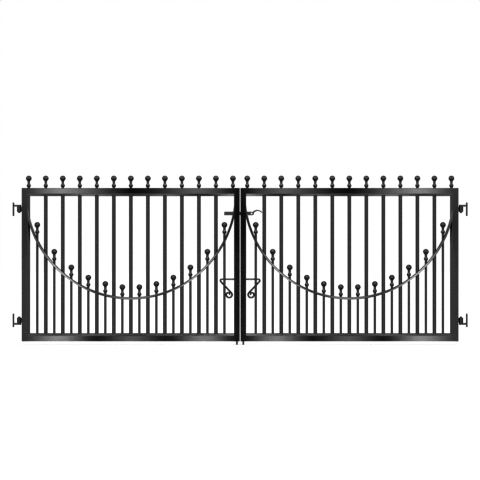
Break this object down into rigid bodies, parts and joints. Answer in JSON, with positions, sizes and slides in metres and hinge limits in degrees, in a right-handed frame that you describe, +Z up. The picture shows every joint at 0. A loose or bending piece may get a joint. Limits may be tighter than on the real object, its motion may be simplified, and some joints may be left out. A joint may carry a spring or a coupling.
{
  "type": "double driveway gate",
  "caption": "Low double driveway gate: framed leaves of upright bars with a dipping bow, dog bars, ball finials, drop bolts, a lift latch and pin hinges.",
  "frame": {"origin": "middle of the back face of the lower left pin bracket, level with the lower hinge eyes", "axes": "+X along the closed gate from the left hinges to the right ones, +Y to the inner side with the bolts and latch, +Z up"},
  "size_m": [3.27, 0.066, 1.2184],
  "materials": {
    "black_paint": "gloss"
  },
  "bodies": {
    "posts_side": {"left_brackets": "black_paint", "right_brackets": "black_paint"},
    "left_leaf": {"left_hinge_stile": "black_paint", "left_meeting_stile": "black_paint", "left_top_rail": "black_paint", "left_bottom_rail": "black_paint", "left_bars": "black_paint", "left_dog_bars": "black_paint", "left_bow": "black_paint", "left_top_finials": "black_paint", "left_dog_finials": "black_paint", "left_eye_bolts": "black_paint", "left_bolt_guides": "black_paint", "latch_pivot": "black_paint"},
    "right_leaf": {"right_hinge_stile": "black_paint", "right_meeting_stile": "black_paint", "right_top_rail": "black_paint", "right_bottom_rail": "black_paint", "right_bars": "black_paint", "right_dog_bars": "black_paint", "right_bow": "black_paint", "right_top_finials": "black_paint", "right_dog_finials": "black_paint", "right_eye_bolts": "black_paint", "right_bolt_guides": "black_paint", "latch_catch": "black_paint"},
    "left_bolt": {"left_drop_bolt": "black_paint"},
    "right_bolt": {"right_drop_bolt": "black_paint"},
    "latch": {"latch_bar": "black_paint"}
  },
  "joints": [
    {"name": "left_leaf_swing", "type": "hinge", "parent": "posts_side", "child": "left_leaf", "pos_m": [0.045, 0, 0], "axis": [0, 0, 1], "range_deg": [0, 90]},
    {"name": "right_leaf_swing", "type": "hinge", "parent": "posts_side", "child": "right_leaf", "pos_m": [3.225, 0, 0], "axis": [0, 0, -1], "range_deg": [0, 90]},
    {"name": "left_bolt_lift", "type": "slide", "parent": "left_leaf", "child": "left_bolt", "axis": [0, 0, 1], "range_m": [0, 0.08]},
    {"name": "right_bolt_lift", "type": "slide", "parent": "right_leaf", "child": "right_bolt", "axis": [0, 0, 1], "range_m": [0, 0.08]},
    {"name": "latch_lift", "type": "hinge", "parent": "left_leaf", "child": "latch", "pos_m": [1.612, 0.029, 0.77], "axis": [0, -1, 0], "range_deg": [0, 70]}
  ]
}
